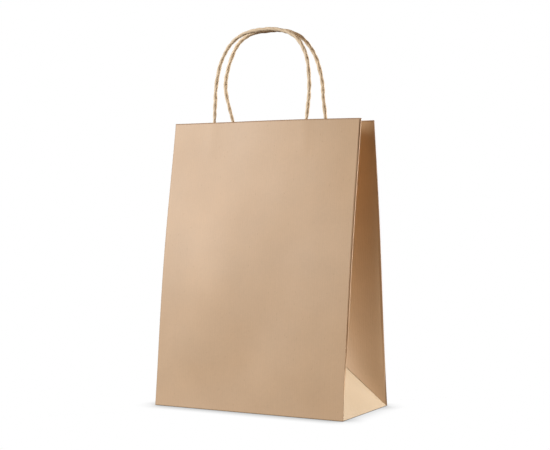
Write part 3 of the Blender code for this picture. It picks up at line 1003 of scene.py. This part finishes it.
def build_cord(name, material):
    """One twisted cord in three meshes: two lower legs that bend at the mouth, and the loop."""
    line, places = resample(cord_path(name))
    rings = cord_rings(line, places, HANDLES[name]["seed"])
    root = Vector(JOINTS[name + "_neck_bend"]["pos_m"])
    swing = Vector(JOINTS[name + "_handle_swing"]["pos_m"])
    split_z = root.z + LEG_SHARE * (swing.z - root.z)
    above = [index for index, place in enumerate(line) if place[2] >= split_z]
    first, last = above[0], above[-1]
    at_root = (name + "_panel", name + "_neck", root, ROOT_BEND)
    at_swing = (name + "_neck", name + "_handle", swing, SWING_BEND)
    parts = (
        ("left_leg", rings[: first + 1], at_root, ("cord_end_left", "cord_neck_left")),
        ("over_hand", rings[first : last + 1], at_swing, ("cord_loop",)),
        ("right_leg", rings[last:], at_root, ("cord_end_right", "cord_neck_right")),
    )
    for part, run, (lower, upper, pivot, (below, above_pivot)), nodes in parts:
        made = cord_mesh(f"{name}_cord_{part}", run, material)
        finish_piece(made, "cord", *[f"{name}_{node}" for node in nodes])
        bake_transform(made)


# ---------------------------------------------------------------- studio


def build_floor():
    """A large white floor, which isn't a piece of the bag."""
    mesh = bpy.data.meshes.new("studio_floor")
    corners = [(x * FLOOR_REACH, y * FLOOR_REACH, 0) for x, y in ((-1, -1), (1, -1), (1, 1), (-1, 1))]
    mesh.from_pydata(corners, [], [(0, 1, 2, 3)])
    mesh.materials.append(floor_material())
    floor = bpy.data.objects.new("studio_floor", mesh)
    floor.location.z = -FLOOR_DROP
    bpy.context.scene.collection.objects.link(floor)


def add_softbox(name, place, size, power, colour):
    """A square light aimed at the middle of the bag."""
    light = bpy.data.lights.new(name, "AREA")
    light.shape = "RECTANGLE"
    light.size = size
    light.size_y = size
    light.energy = power
    light.color = colour
    lamp = bpy.data.objects.new(name, light)
    lamp.location = place
    aim = Vector((0, 0, TOP_Z / 2)) - Vector(place)
    lamp.rotation_euler = aim.to_track_quat("-Z", "Y").to_euler()
    bpy.context.scene.collection.objects.link(lamp)


def build_world():
    """White behind the bag to the camera, and a dim warm room to everything else."""
    world = bpy.data.worlds.new("white_studio")
    bpy.context.scene.world = world
    world.use_nodes = True
    tree = world.node_tree
    seen = add_node(tree, "ShaderNodeLightPath").outputs["Is Camera Ray"]
    light = mix_colour(tree, seen, (*ROOM_LIGHT, 1), (1, 1, 1, 1))
    tree.links.new(light, tree.nodes["Background"].inputs["Color"])


def build_light():
    build_world()
    for name, setting in SOFTBOXES.items():
        add_softbox(name, *setting)
    scene = bpy.context.scene
    scene.view_settings.view_transform = "Standard"
    scene.cycles.max_bounces = LIGHT_BOUNCES
    scene.cycles.diffuse_bounces = DIFFUSE_BOUNCES


def build_camera():
    """The camera at the picture's angle, rolled a little, with a long lens."""
    azimuth = math.radians(VIEW_AZIMUTH)
    elevation = math.radians(VIEW_ELEVATION)
    level = math.cos(elevation)
    back = Vector((math.sin(azimuth) * level, -math.cos(azimuth) * level, math.sin(elevation)))
    right = Vector((math.cos(azimuth), math.sin(azimuth), 0))
    up = back.cross(right)
    roll = math.radians(VIEW_ROLL)
    tilted_right = right * math.cos(roll) + up * math.sin(roll)
    tilted_up = up * math.cos(roll) - right * math.sin(roll)
    data = bpy.data.cameras.new("photo_view")
    data.lens = LENS
    data.sensor_width = SENSOR_WIDTH
    data.clip_end = CLIP_END
    camera = bpy.data.objects.new("photo_view", data)
    place = right * VIEW_TARGET[0] + Vector((0, 0, VIEW_TARGET[1])) + back * VIEW_DISTANCE
    turn = Matrix((tilted_right, tilted_up, back)).transposed()
    camera.matrix_world = Matrix.Translation(place) @ turn.to_4x4()
    bpy.context.scene.collection.objects.link(camera)
    bpy.context.scene.camera = camera


# ---------------------------------------------------------------- the whole scene


def build_bag():
    paper = {name: paper_material(name, *looks) for name, looks in PAPERS.items()}
    outside = paper["kraft_outside"]
    inside = paper["kraft_inside"]
    cord = cord_material("twisted_paper", CORD_COLOUR)
    for name, shape in HANDLES.items():
        build_panel(shape["side"], outside)
        build_panel_hem(shape["side"], inside)
        build_patch(name, paper["kraft_patch"])
        build_cord(name, cord)
    for side_x in (1, -1):
        for side_y in (-1, 1):
            build_gusset_half(side_x, side_y, outside, inside)
        build_foot(side_x, paper["kraft_foot_painted_sheen"])
    for side_y in (1, -1):
        build_base_flap(side_y, outside)
    for side_x in (1, -1):
        build_side_tuck(side_x, inside)
    build_seam(inside)


build_bag()
build_floor()
build_light()
build_camera()
